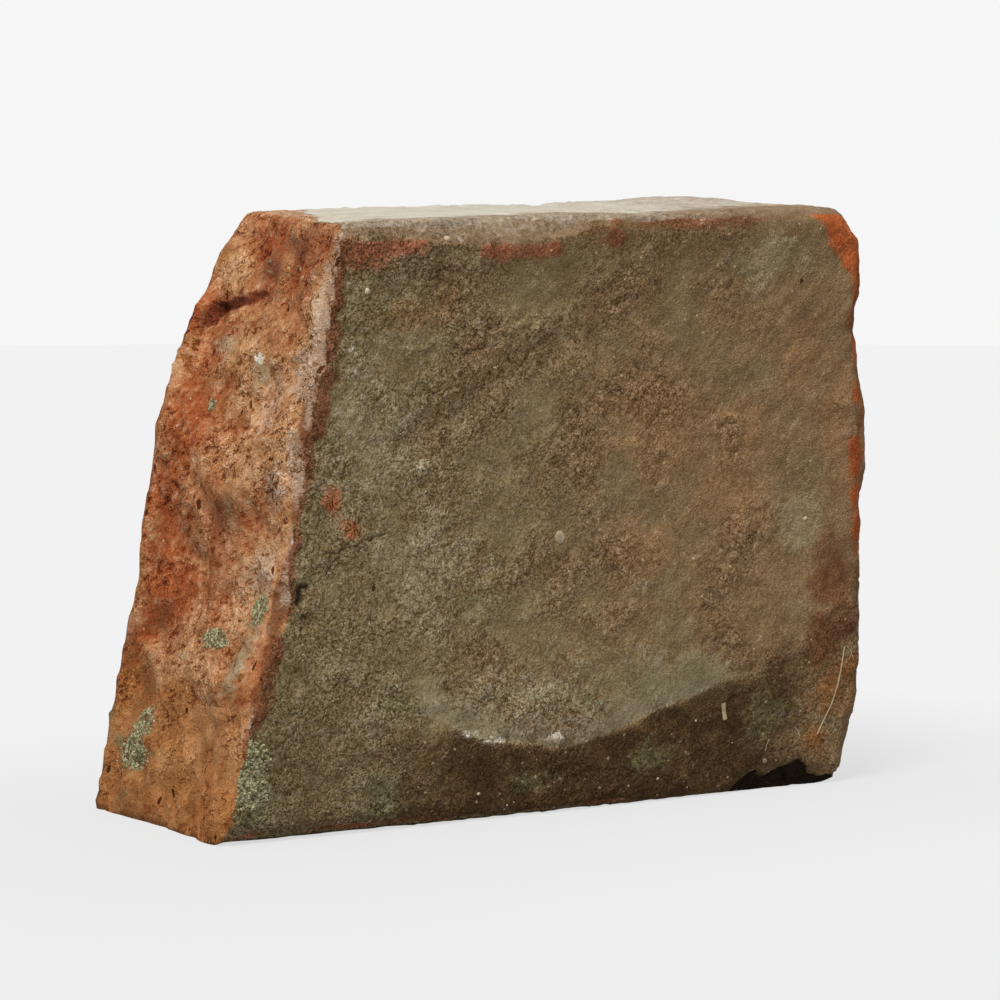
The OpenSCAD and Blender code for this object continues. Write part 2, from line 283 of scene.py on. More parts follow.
    # Masks: where each tone and coat lies, from 0 to about 1
    upward = ramp(0.5, 0.8, n.z) * ramp(80.0, 95.0, p.z) * (1.0 - broken)
    bevel = ramp(0.22, 0.45, n.z) * ramp(96.0, 100.0, p.z) * (1.0 - broken)
    above_rim = p.z - along(RIM, p.x)
    blur = 0.8 + 4.0 * max(ramp(-20.0, -30.0, p.x), ramp(34.0, 46.0, p.x))
    below = ramp(blur, -blur, above_rim - (0.4 + 0.5 * blur) * rough)
    below *= 0.75 + 0.25 * ramp(0.0, -5.0, above_rim)
    corner = ramp(-3.5, 3.5, p.x - CORNER_X - CORNER_SLOPE * (CORNER_Z - p.z) + 5.0 * rough + 3.0 * patch)
    corner *= ramp(84.0, 91.0, p.z) * ramp(-6.0, -18.0, p.y + 8.0 * patch)
    reds = 0.85 * ramp(0.0, 1.0, spots(RED_PATCHES, p.x, p.z) + 0.5 * rough) * front
    mottle = ramp(-0.3, 0.4, noise.fractal(p / 8.0 + Vector((3.1, 5.9, 8.3)), 0.8, 2.0, 4))
    strip = ramp(63.5, 66.5, p.x + rough) * ramp(0.4, -0.1, patch) * ramp(20.0, 34.0, p.z)
    break_lip = ramp(0.1, 0.4, -n.y) * ramp(6.0, 3.0, lip + 2.5 * rough)
    break_lip *= ramp(10.0, 30.0, p.z + 10.0 * patch)
    near_lip = ramp(1.8, 0.5, p.y - front_y + 1.4 * rough) * ramp(24.0, 60.0, p.z + 30.0 * patch)
    # Under the ledge the body turns to its darkest red, which is painted shade.
    tan = spots(TAN_PLACES, p.y, p.z) - spots(DEEP_PLACES, p.y, p.z) - 1.5 * ledge
    grey = ramp(0.1, 1.0, spots(GREY_PLACES, p.y, p.z) + 0.5 * rough)
    torn_crumbly = (0.3 + 0.7 * mottle) * (0.75 + 0.25 * ramp(30.0, 60.0, p.z))
    masks["crumbly"][i] = max(crumbly + (torn_crumbly - crumbly) * broken, 0.7 * below * front)
    masks["warm"][i] = ramp(-0.8, 0.8, p.x / 60.0 + 1.2 * patch)
    past_tear = p.x - TORN_TOP + TORN_TOP_SLOPE * (-front_y - p.y)
    torn_top = upward * ramp(0.0, -4.0, past_tear + 4.0 * rough)
    masks["broken"][i] = max(broken, torn_top)
    masks["tan"][i] = ramp(-0.9, 0.9, tan + 0.8 * patch + 0.4 * rough + torn_top)
    by_notch = ramp(35.0, 39.0, p.x) * ramp(10.0, 7.0, p.z)
    worn_edge = edge * ramp(-0.1, 0.5, patch) * (1.0 - by_notch)
    masks["rusty"][i] = max(reds, 0.9 * worn_edge, 0.55 * break_lip)
    masks["silt"][i] = front * ramp(-0.5, 0.8, above_rim) * ramp(12.0, -1.0, above_rim + 3.0 * patch)
    masks["silt"][i] *= ramp(-36.0, -24.0, p.x) * ramp(44.0, 30.0, p.x)
    dusty = ramp(0.0, 1.0, spots(DUSTY_PLACES, p.y, p.z) + 0.4 * rough)
    masks["silt"][i] = max(masks["silt"][i], 0.7 * broken * dusty)
    masks["ochre"][i] = max(0.75 * front * ramp(-0.1, 1.0, spots(OCHRE, p.x, p.z) + 0.3 * rough),
                            0.75 * broken * ramp(40.0, 12.0, p.z + 12.0 * patch))
    masks["bare"][i] = max(corner, strip * front * ramp(34.0, 52.0, p.z),
                           0.62 * front * ramp(0.0, 1.0, spots(RED_SPOTS, p.x, p.z) + 0.3 * rough))
    # Real stains and dull clay, and painted shade: dark bands just under the front face's top edge and a dark
    # red-brown strip beside the break's front edge.
    masks["stain_and_shade"][i] = max(front * ramp(0.0, 1.0, spots(STAINS_AND_EDGE_SHADE, p.x, p.z) + 0.4 * rough), 0.95 * break_lip,
                            0.7 * broken * ramp(0.0, 1.0, spots(DULL_PLACES, p.y, p.z) + 0.3 * rough))
    faded = 0.65 * ramp(0.0, 1.0, spots(FADED_PLACES, p.y, p.z) + 0.4 * rough)
    masks["chalk"][i] = max(broken * max(near_lip, grey, faded), 0.55 * torn_top)
    masks["buff"][i] = max(bevel * ramp(16.0, 0.0, p.x + 6.0 * rough),
                           upward * ramp(-8.0, -20.0, p.y + 9.0 * patch))
    masks["buff"][i] *= (1.0 - torn_top) * (1.0 - 0.8 * reds)
    masks["dust"][i] = upward * (1.0 - torn_top) * (1.0 - 0.4 * ramp(10.0, 50.0, p.x))
    masks["dust"][i] *= 1.0 - 0.6 * ramp(-8.0, -22.0, p.y + 9.0 * patch)
    # Soil below the rim, its dark coat partly painted shade near the ground.
    masks["soil_and_shade"][i] = front * below * (0.4 + 0.6 * ramp(-44.0, -14.0, p.x))
    masks["soil_and_shade"][i] *= (1.0 - 0.3 * ramp(34.0, 48.0, p.x)) * (1.0 - 0.65 * ramp(48.0, 58.0, p.x))
    masks["soil_and_shade"][i] *= 0.85 + 0.15 * mottle
    masks["haze"][i] = front * ramp(-0.2, 1.2, spots(HAZE, p.x, p.z) + 0.4 * patch + 0.3 * rough)
    masks["pale"][i] = front * ramp(-0.1, 1.0, spots(PALE_PATCHES, p.x, p.z) + 0.4 * rough)
    masks["mossy"][i] = front * 0.8 * ramp(0.0, 1.0, spots(MOSSY_PLACES, p.x, p.z) + 0.4 * rough)
    masks["lichen"][i] = max(front * 0.9 * ramp(0.0, 0.8, spots(FRONT_CRUST, p.x, p.z) + 0.4 * rough),
                             broken * ramp(0.0, 0.7, spots(LICHEN_BEDS, p.y, p.z) + 0.4 * rough))
    masks["lime"][i] = max(0.75 * front * ramp(0.0, 1.0, spots(LIMY_SPOTS, p.x, p.z) + 0.4 * rough),
                           1.7 * broken * spots(WHITE_SPOT, p.y, p.z))
    # Painted shade: the front face grows darker towards its top edge.
    masks["shade"][i] = front * ramp(88.0, 103.0, p.z)
    # Painted shade, nearly black: inside the notch, in crevices and cracks, in the chip hole and along the
    # rim of the ledge on the break.
    ledge_rim_shade = broken * ramp(0.5, 0.1, abs(under - 0.3)) * ramp(0.0, 0.3, inside)
    masks["deep"][i] = max(1.3 * notch, 0.15 * crevice * front * crumbly,
                           0.5 * front * ramp(0.2, 0.05, crack), 0.7 * hole, 0.62 * ledge_rim_shade)
    # Painted shade on the ledge: its recessed wall under the rim, dark red-brown.
    masks["scar"][i] = broken * max(0.0, 0.5 + 1.8 * inside)

for v, move in zip(clay.verts, moves):
    v.co += move
# The back and lower edges of the break are rubbed smoother than its middle.
EDGE_PASSES = 3
edge_verts = [v for v in clay.verts
              if v.co.x < NEAR_BREAK * MM and (v.co.y > 21 * MM) != (v.co.z < 3 * MM)]
for _ in range(EDGE_PASSES):
    bmesh.ops.smooth_vert(clay, verts=edge_verts, factor=0.5,
                          use_axis_x=True, use_axis_y=True, use_axis_z=True)
for v in clay.verts:
    v.co.z = max(v.co.z, 0.0)
clay.normal_update()
surface = BVHTree.FromBMesh(clay)
clay.to_mesh(mesh)
clay.free()
for name, values in masks.items():
    mesh.attributes.new(name, "FLOAT", "POINT").data.foreach_set("value", values)
mesh.shade_smooth()


def linear(hex_colour):
    """Linear RGBA of an sRGB hex colour."""
    parts = [int(hex_colour[i:i + 2], 16) / 255 for i in (1, 3, 5)]
    parts = [c / 12.92 if c <= 0.04045 else ((c + 0.055) / 1.055) ** 2.4 for c in parts]
    return (*parts, 1.0)


def add(tree, kind, links, **settings):
    """New node with its settings, and its inputs linked or set."""
    made = tree.nodes.new(kind)
    for name, value in settings.items():
        setattr(made, name, value)
    for socket, value in links.items():
        if isinstance(value, bpy.types.NodeSocket):
            tree.links.new(value, made.inputs[socket])
        else:
            made.inputs[socket].default_value = value
    return made


# Fired clay: matt, sandy and porous, so nearly no gloss. The moulded skin is grey-brown
# with age, and where it is worn or torn away the body shows orange-red. Soil, dust and
# lime lie over it. Shade is painted into the colour as well: in recesses, hollows, cracks,
# voids and on the ledge, near the ground and in bands near the top of the front face.
clay_finish = bpy.data.materials.new("fired_clay")
clay_finish.use_nodes = True
tree = clay_finish.node_tree
shader = tree.nodes["Principled BSDF"]
shader.inputs["Roughness"].default_value = 0.92
shader.inputs["Specular IOR Level"].default_value = 0.1
spot_at = add(tree, "ShaderNodeTexCoord", {}).outputs["Object"]
# The skin was wiped from lower left to upper right and the clay tore the same way, which
# draws their grain out along it.
BLOTCH, SKIN_CRUMB, TORN_CRUMB, GRAIN = 6 * MM, 1.0 * MM, 1.5 * MM, 0.32 * MM
VOID, GRIT = 2.6 * MM, 1.6 * MM
masked = {name: add(tree, "ShaderNodeAttribute", {}, attribute_name=name).outputs["Fac"] for name in names}
skin_at, torn_at = [
    add(tree, "ShaderNodeMapping", {"Vector": spot_at, "Rotation": turn, "Scale": stretch},
        vector_type="TEXTURE").outputs[0]
    for turn, stretch in (((0.0, math.radians(-45), 0.0), (1.35 * SKIN_CRUMB, SKIN_CRUMB, SKIN_CRUMB)),
                          ((math.radians(155), 0.0, 0.0), (TORN_CRUMB, 1.7 * TORN_CRUMB, TORN_CRUMB)))]
torn_here = add(tree, "ShaderNodeMath", {0: masked["broken"], 1: 0.5}, operation="GREATER_THAN").outputs[0]
crumb_at = add(tree, "ShaderNodeMixRGB", {"Fac": torn_here, "Color1": skin_at,
                                          "Color2": torn_at}).outputs[0]
crumbs = add(tree, "ShaderNodeTexNoise", {"Vector": crumb_at, "Scale": 1.0, "Detail": 3.0,
                                          "Roughness": 0.7}).outputs["Fac"]
blotches = add(tree, "ShaderNodeTexNoise", {"Vector": spot_at, "Scale": 1 / BLOTCH, "Detail": 2.5,
                                            "Roughness": 0.5}).outputs["Fac"]
sand = add(tree, "ShaderNodeTexVoronoi", {"Vector": spot_at, "Scale": 1 / GRAIN})
# Flakes: thin scabs of skin in two layers with sharp rims, shaded by the bump and by
# painted shade along them, on crumbly ground
FLAKE_RIMS, RIM_WIDTH = (0.535, 0.615), 0.008
ragged = add(tree, "ShaderNodeMath", {0: crumbs, 1: 0.14, 2: blotches}, operation="MULTIPLY_ADD").outputs[0]
lower, upper = [
    add(tree, "ShaderNodeMapRange", {"Value": ragged, "From Min": rim - RIM_WIDTH,
                                     "From Max": rim + RIM_WIDTH},
        interpolation_type="SMOOTHSTEP").outputs[0]
    for rim in FLAKE_RIMS]
flake = add(tree, "ShaderNodeMath", {0: lower, 1: upper}, operation="ADD").outputs[0]
flake = add(tree, "ShaderNodeMath", {0: flake, 1: masked["crumbly"]}, operation="MULTIPLY").outputs[0]
low_rim, high_rim = [
    add(tree, "ShaderNodeMath", {0: ragged, 1: rim - 0.01, 2: RIM_WIDTH},
        operation="COMPARE").outputs[0]
    for rim in FLAKE_RIMS]
flake_rim_shade = add(tree, "ShaderNodeMath", {0: low_rim, 1: high_rim}, operation="ADD").outputs[0]
flake_rim_shade = add(tree, "ShaderNodeMath", {0: flake_rim_shade, 1: masked["crumbly"]}, operation="MULTIPLY").outputs[0]

mid_tone = add(tree, "ShaderNodeMapRange", {"Value": blotches, "From Min": 0.22,
                                            "From Max": 0.78}).outputs[0]
cool_skin, warm_skin, deep_clay, tan_clay = [
    add(tree, "ShaderNodeMixRGB", {"Fac": mid_tone, "Color1": linear(dark),
                                   "Color2": linear(light)}).outputs[0]
    for dark, light in (("#67573a", "#7c6d4e"), ("#685036", "#806849"),
                        ("#6b3014", "#955029"), ("#86552c", "#b38b65"))]
coat = add(tree, "ShaderNodeMixRGB", {"Fac": masked["warm"], "Color1": cool_skin,
                                      "Color2": warm_skin}).outputs[0]
raised = add(tree, "ShaderNodeMapRange", {"Value": crumbs, "From Min": 0.35, "From Max": 0.65,
                                          "To Min": -0.3, "To Max": 0.3})
tan_share = add(tree, "ShaderNodeMath", {0: masked["tan"], 1: raised.outputs[0]},
                operation="ADD", use_clamp=True).outputs[0]
body = add(tree, "ShaderNodeMixRGB", {"Fac": tan_share, "Color1": deep_clay, "Color2": tan_clay}).outputs[0]

# Each coat: its mask, its dark and light colours, how far its rim frays, and its cover
COATS = (
    # Painted shade on the upper part of the front face
    ("shade", "#524229", "#66563b", 0.8, 0.5),
    ("haze", "#7a5a3a", "#93704c", 0.8, 0.55),
    ("pale", "#766a4e", "#8f8264", 1.0, 0.6),
    # Soil, partly painted shade near the ground
    ("soil_and_shade", "#231507", "#523c20", 1.1, 0.9),
    ("rusty", "#5e3220", "#8c4e33", 1.2, 0.8),
    ("bare", "#75351a", "#aa592c", 0.9, 0.95),
    ("broken", None, None, 0.5, 1.0),
    # Stains, and painted shade under the top edge and beside the break's edge
    ("stain_and_shade", "#4e2a17", "#6c4228", 1.0, 0.75),
    ("ochre", "#70461f", "#935d2c", 0.9, 0.75),
    ("silt", "#6c624a", "#8b8267", 1.0, 0.7),
    ("mossy", "#544e31", "#716a48", 1.0, 0.55),
    ("chalk", "#8a6f57", "#b09a83", 0.9, 0.66),
    ("buff", "#5f4c37", "#7a654c", 0.8, 0.95),
    ("dust", "#9a917f", "#b0ab9f", 0.7, 0.95),
    ("lime", "#a4987e", "#d3cab6", 1.4, 0.9),
    ("lichen", "#453f28", "#6c6547", 1.6, 0.8),
    # Painted shade on the ledge's recessed wall
    ("scar", "#451c0e", "#672f19", 0.3, 0.9),
    # Painted shade in recesses, nearly black
    ("deep", "#100b06", "#1e130b", 0.4, 0.97),
)
shares = {}
for name, dark, light, fray, cover in COATS:
    frayed = add(tree, "ShaderNodeMath", {0: crumbs, 1: fray, 2: masked[name]},
                 operation="MULTIPLY_ADD").outputs[0]
    shares[name] = add(tree, "ShaderNodeMapRange", {
        "Value": frayed, "From Min": 0.2 + fray / 2, "From Max": 0.8 + fray / 2,
        "To Max": cover}, interpolation_type="SMOOTHSTEP").outputs[0]
    colour = body
    if dark:
        colour = add(tree, "ShaderNodeMixRGB", {
            "Fac": mid_tone, "Color1": linear(dark), "Color2": linear(light)}).outputs[0]
    coat = add(tree, "ShaderNodeMixRGB", {"Fac": shares[name], "Color1": coat, "Color2": colour}).outputs[0]

# Sand, drawn a little coarser than the real sand: grains with a tone of their own, a
# painted highlight on raised crumbs, painted shade in the hollows between crumbs, along
# the flakes' rims and in small voids, and a few pale grains. Dust fills them.
filled = add(tree, "ShaderNodeMath", {0: shares["dust"], 1: -0.75, 2: 1.0},
             operation="MULTIPLY_ADD").outputs[0]
filled = add(tree, "ShaderNodeMath", {0: shares["silt"], 1: -0.5, 2: filled},
             operation="MULTIPLY_ADD").outputs[0]
filled = add(tree, "ShaderNodeMath", {0: shares["buff"], 1: -0.4, 2: filled},
             operation="MULTIPLY_ADD", use_clamp=True).outputs[0]
each_grain = add(tree, "ShaderNodeSeparateColor", {"Color": sand.outputs["Color"]}).outputs[0]
zone = add(tree, "ShaderNodeMapRange", {"Value": masked["crumbly"], "To Min": 0.2}).outputs[0]
speckle = add(tree, "ShaderNodeMath", {0: masked["crumbly"], 1: 0.6, 2: 0.45},
              operation="MULTIPLY_ADD").outputs[0]
speckle = add(tree, "ShaderNodeMath", {0: shares["broken"], 1: -0.3, 2: speckle},
              operation="MULTIPLY_ADD").outputs[0]
grain_tone = add(tree, "ShaderNodeMath", {0: each_grain, 1: -0.5}, operation="ADD").outputs[0]
tones = [add(tree, "ShaderNodeMath", {0: grain_tone, 1: speckle, 2: 1.0},
             operation="MULTIPLY_ADD").outputs[0],
         # Painted highlight: raised crumbs are lightened.
         add(tree, "ShaderNodeMapRange", {"Value": crumbs, "From Min": 0.54, "From Max": 0.7, "To Min": 1.0,
                                          "To Max": 1.3}).outputs[0]]
# Pits between crumbs: sunk in the bump, and darkened by painted shade.
pits = add(tree, "ShaderNodeMapRange", {"Value": crumbs, "From Min": 0.43, "From Max": 0.35},
           interpolation_type="SMOOTHSTEP").outputs[0]
hollow_shade = add(tree, "ShaderNodeMath", {0: pits, 1: 0.5}, operation="MULTIPLY").outputs[0]
hollow_share = add(tree, "ShaderNodeMath", {0: shares["broken"], 1: 0.55, 2: 0.65},
                   operation="MULTIPLY_ADD").outputs[0]
hollow_share = add(tree, "ShaderNodeMath", {0: hollow_share, 1: zone}, operation="MULTIPLY").outputs[0]
hollow_shade = add(tree, "ShaderNodeMath", {0: hollow_shade, 1: hollow_share}, operation="MULTIPLY").outputs[0]
tones.append(add(tree, "ShaderNodeMath", {0: 1.0, 1: hollow_shade}, operation="SUBTRACT").outputs[0])
# Painted shade along the flakes' rims
tones.append(add(tree, "ShaderNodeMath", {0: flake_rim_shade, 1: -0.22, 2: 1.0},
                 operation="MULTIPLY_ADD").outputs[0])
skin_void_at, torn_void_at = [
    add(tree, "ShaderNodeMapping", {"Vector": spot_at, "Rotation": (0.3, 0.2, 0.0),
                                    "Scale": squash}).outputs[0]
    for squash in ((1.0, 0.25, 0.6), (0.25, 1.0, 0.5))]
void_at = add(tree, "ShaderNodeMixRGB", {"Fac": torn_here, "Color1": skin_void_at,
                                         "Color2": torn_void_at}).outputs[0]
voids = add(tree, "ShaderNodeTexVoronoi", {"Vector": void_at, "Scale": 1 / VOID})
void_reach = add(tree, "ShaderNodeMath", {0: crumbs, 1: 0.7, 2: -0.2}, operation="MULTIPLY_ADD").outputs[0]
in_void = add(tree, "ShaderNodeMath", {0: void_reach, 1: voids.outputs["Distance"]},
              operation="SUBTRACT").outputs[0]
void = add(tree, "ShaderNodeMapRange", {"Value": in_void, "From Max": 0.08},
           interpolation_type="SMOOTHSTEP").outputs[0]
chosen = add(tree, "ShaderNodeSeparateColor", {"Color": voids.outputs["Color"]}).outputs[0]
rare = add(tree, "ShaderNodeMath", {0: shares["broken"], 1: -0.32, 2: 0.99},
           operation="MULTIPLY_ADD").outputs[0]
chosen = add(tree, "ShaderNodeMath", {0: chosen, 1: rare}, operation="GREATER_THAN").outputs[0]
void = add(tree, "ShaderNodeMath", {0: void, 1: chosen}, operation="MULTIPLY").outputs[0]
# Painted shade: the small voids are darkened nearly to black.
tones.append(add(tree, "ShaderNodeMath", {0: void, 1: -0.8, 2: 1.0}, operation="MULTIPLY_ADD").outputs[0])
grain_and_shade = tones[0]
for tone in tones[1:]:
    grain_and_shade = add(tree, "ShaderNodeMath", {0: grain_and_shade, 1: tone}, operation="MULTIPLY").outputs[0]
# Where painted shade and the grains darken the colour it grows stronger and browner, and
# where painted highlight and the grains lighten it, greyer.
green_power = add(tree, "ShaderNodeMath", {0: shares["broken"], 1: 0.2, 2: 1.25},
                  operation="MULTIPLY_ADD").outputs[0]
blue_power = add(tree, "ShaderNodeMath", {0: shares["broken"], 1: 0.4, 2: 1.85},
                 operation="MULTIPLY_ADD").outputs[0]
green_tone = add(tree, "ShaderNodeMath", {0: grain_and_shade, 1: green_power}, operation="POWER").outputs[0]
blue_tone = add(tree, "ShaderNodeMath", {0: grain_and_shade, 1: blue_power}, operation="POWER").outputs[0]
grain_and_shade = add(tree, "ShaderNodeCombineColor", {0: grain_and_shade, 1: green_tone, 2: blue_tone}).outputs[0]
finish = add(tree, "ShaderNodeMixRGB", {"Fac": filled, "Color1": coat, "Color2": grain_and_shade},
             blend_type="MULTIPLY").outputs[0]
grit = add(tree, "ShaderNodeTexVoronoi", {"Vector": spot_at, "Scale": 1 / GRIT})
stone = add(tree, "ShaderNodeMapRange", {
    "Value": grit.outputs["Distance"], "From Min": 0.2, "From Max": 0.12, "To Max": 0.5}).outputs[0]
chosen = add(tree, "ShaderNodeSeparateColor", {"Color": grit.outputs["Color"]}).outputs[0]
scarce = add(tree, "ShaderNodeMath", {0: shares["soil_and_shade"], 1: -0.2, 2: 0.9},
             operation="MULTIPLY_ADD").outputs[0]
chosen = add(tree, "ShaderNodeMath", {0: chosen, 1: scarce}, operation="GREATER_THAN").outputs[0]
stone = add(tree, "ShaderNodeMath", {0: stone, 1: chosen}, operation="MULTIPLY").outputs[0]
finish = add(tree, "ShaderNodeMixRGB", {"Fac": stone, "Color1": finish,
                                        "Color2": linear("#c2ac88")}).outputs[0]
tree.links.new(finish, shader.inputs["Base Color"])
# Heights in mm
crumb_height = add(tree, "ShaderNodeMath", {0: shares["broken"], 1: 0.25, 2: 0.42},
                   operation="MULTIPLY_ADD").outputs[0]
crumb_height = add(tree, "ShaderNodeMath", {0: crumb_height, 1: zone}, operation="MULTIPLY").outputs[0]
height = add(tree, "ShaderNodeMath", {0: crumbs, 1: crumb_height}, operation="MULTIPLY").outputs[0]
pit_depth = add(tree, "ShaderNodeMath", {0: hollow_share, 1: -0.2}, operation="MULTIPLY").outputs[0]
height = add(tree, "ShaderNodeMath", {0: pits, 1: pit_depth, 2: height},
             operation="MULTIPLY_ADD").outputs[0]
height = add(tree, "ShaderNodeMath", {0: sand.outputs["Distance"], 1: -0.1, 2: height},
             operation="MULTIPLY_ADD").outputs[0]
height = add(tree, "ShaderNodeMath", {0: void, 1: -0.5, 2: height}, operation="MULTIPLY_ADD").outputs[0]
height = add(tree, "ShaderNodeMath", {0: flake, 1: 0.25, 2: height}, operation="MULTIPLY_ADD").outputs[0]
height = add(tree, "ShaderNodeMath", {0: height, 1: filled}, operation="MULTIPLY").outputs[0]
relief = add(tree, "ShaderNodeBump", {"Height": height, "Strength": 1.0, "Distance": MM})
tree.links.new(relief.outputs["Normal"], shader.inputs["Normal"])
mesh.materials.clear()
mesh.materials.append(clay_finish)
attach(brick, "root")
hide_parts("brick")

# Lichen: low crusts of grey-green grains that grow on the break and on the front face's
# corner. Each crust is a crowd of small flattened beads, seated on the clay one by one.
# A patch has its middle and its reach in mm: y and z on the break, x and z on the front.
LICHEN_PATCHES = ((-7.6, 33.7, 3.6, 2.0), (12.2, 17, 4.2, 2.5), (14.2, 11.4, 6.2, 3.3), (8.5, 73.6, 1.4, 1.2),
                  (-19.3, 40, 2.8, 2.4))
FRONT_LICHEN = ((-65.0, 14.5, 3.8, 3.8), (-65.0, 9.6, 4.0, 3.6))
BEADS_PER_MM2, GAP = 17, 1.3 * MM
growth = random.Random(7)
# Rays towards the clay start this far out, in metres.
OUTSIDE = -0.2


def seat(start, direction):
    """Where a ray meets the clay, and the clay's normal there."""
    place, normal, _, _ = surface.ray_cast(start, direction)
    return place, normal


def bead(into, place, normal, half_width, rise, steps):
    """Adds a flattened bead, half sunk into the clay."""
    turn = normal.to_track_quat("Z", "Y").to_matrix().to_4x4()
    shape = Matrix.Diagonal((half_width, half_width * growth.uniform(0.75, 1.25), rise, 1.0))
    spin = Matrix.Rotation(growth.uniform(0.0, math.tau), 4, "Z")
    bmesh.ops.create_icosphere(into, subdivisions=steps, radius=1.0,
                               matrix=Matrix.Translation(place) @ turn @ spin @ shape)


crust = bmesh.new()
for on_break, patches in ((True, LICHEN_PATCHES), (False, FRONT_LICHEN)):
    for middle_a, middle_z, reach_a, reach_z in patches:
        for _ in range(int(math.pi * reach_a * reach_z * BEADS_PER_MM2)):
            angle = growth.uniform(0.0, math.tau)
            far = math.sqrt(growth.random()) * growth.uniform(0.75, 1.15)
            a = (middle_a + reach_a * far * math.cos(angle)) * MM
            z = max(0.4, middle_z + reach_z * far * math.sin(angle)) * MM
            gap = noise.noise(Vector((a, z, 0.0)) / GAP)
            half_width = growth.uniform(0.12, 0.32) * MM
            if gap < (-0.1 if on_break else -0.35):
                continue
            if on_break:
                place, normal = seat(Vector((OUTSIDE, a, z)), Vector((1.0, 0.0, 0.0)))
            else:
                place, normal = seat(Vector((a, OUTSIDE, z)), Vector((0.0, 1.0, 0.0)))
            if place and (on_break or normal.y < -0.8):
                bead(crust, place, normal, half_width, half_width * growth.uniform(0.5, 0.9), 1)
lichen_mesh = bpy.data.meshes.new("lichen")
crust.to_mesh(lichen_mesh)
crust.free()
lichen_mesh.shade_smooth()
lichen = bpy.data.objects.new("lichen", lichen_mesh)
scene.collection.objects.link(lichen)
# Lichen: dry and matt, grey-green with paler tips, which gives small light grains
lichen_finish = bpy.data.materials.new("crustose_lichen")
lichen_finish.use_nodes = True
tree = lichen_finish.node_tree
shader = tree.nodes["Principled BSDF"]
shader.inputs["Roughness"].default_value = 0.95
shader.inputs["Specular IOR Level"].default_value = 0.15
spot_at = add(tree, "ShaderNodeTexCoord", {}).outputs["Object"]
TIP = 0.7 * MM
tips = add(tree, "ShaderNodeTexNoise", {"Vector": spot_at, "Scale": 1 / TIP, "Detail": 2.0}).outputs["Fac"]
tip = add(tree, "ShaderNodeMapRange", {"Value": tips, "From Min": 0.35, "From Max": 0.65}).outputs[0]
green = add(tree, "ShaderNodeMixRGB", {"Fac": tip, "Color1": linear("#524e36"),
                                       "Color2": linear("#a29c79")})
tree.links.new(green.outputs[0], shader.inputs["Base Color"])
rough_tip = add(tree, "ShaderNodeBump", {"Height": tips, "Strength": 0.6, "Distance": 0.2 * MM})
tree.links.new(rough_tip.outputs["Normal"], shader.inputs["Normal"])
lichen_mesh.materials.append(lichen_finish)
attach(lichen, "root")

# Stones: pale grains of lime and sand that stick to the front face, most of them in the
# soil near the ground. Each is a small rounded pebble, half sunk into the clay.
# Those with a place of their own have x, z and half their width in mm.
PEBBLES = ((-43, 84, 0.5), (-43, 80.5, 0.4), (-23, 103.5, 0.7), (-41, 95, 0.55), (1.2, 49.5, 1.0),
           (55, 50, 0.5), (-18.5, 15.5, 0.4), (-15, 14.8, 0.4), (-0.5, 13.6, 0.4), (1, 14.6, 0.3),
           (47, 5.5, 0.6))
SOIL_STONES = 45
gravel = bmesh.new()
for x, z, half_width in PEBBLES:
    place, normal = seat(Vector((x * MM, OUTSIDE, z * MM)), Vector((0.0, 1.0, 0.0)))
    bead(gravel, place, normal, half_width * MM, 0.45 * half_width * MM, 2)
for _ in range(SOIL_STONES):
    x = growth.uniform(-34.0, 64.0)
    z = growth.uniform(1.0, 1.0 + along(RIM, x)) * growth.uniform(0.3, 1.0)
    place, normal = seat(Vector((x * MM, OUTSIDE, z * MM)), Vector((0.0, 1.0, 0.0)))
    half_width = 0.1 * MM / (0.3 + growth.random())
    if place:
        bead(gravel, place, normal, half_width, 0.7 * half_width, 1)
for v in gravel.verts:
    v.co += 0.2 * MM * noise.noise_vector(v.co / (0.6 * MM))
stone_mesh = bpy.data.meshes.new("stones")
gravel.to_mesh(stone_mesh)
gravel.free()
stone_mesh.shade_smooth()
stones = bpy.data.objects.new("stones", stone_mesh)
scene.collection.objects.link(stones)
# Lime and sand: matt, off-white to buff from one stone to the next
stone_finish = bpy.data.materials.new("lime_and_sand")
stone_finish.use_nodes = True
tree = stone_finish.node_tree
shader = tree.nodes["Principled BSDF"]
shader.inputs["Roughness"].default_value = 0.85
shader.inputs["Specular IOR Level"].default_value = 0.25
spot_at = add(tree, "ShaderNodeTexCoord", {}).outputs["Object"]
TONE_PATCH = 3.0 * MM
kinds = add(tree, "ShaderNodeTexNoise", {"Vector": spot_at, "Scale": 1 / TONE_PATCH,
                                         "Detail": 3.0}).outputs["Fac"]
kind = add(tree, "ShaderNodeMapRange", {"Value": kinds, "From Min": 0.35, "From Max": 0.65}).outputs[0]
pale = add(tree, "ShaderNodeMixRGB", {"Fac": kind, "Color1": linear("#6d5c42"),
                                      "Color2": linear("#b3a68b")})
tree.links.new(pale.outputs[0], shader.inputs["Base Color"])
stone_mesh.materials.append(stone_finish)
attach(stones, "root")

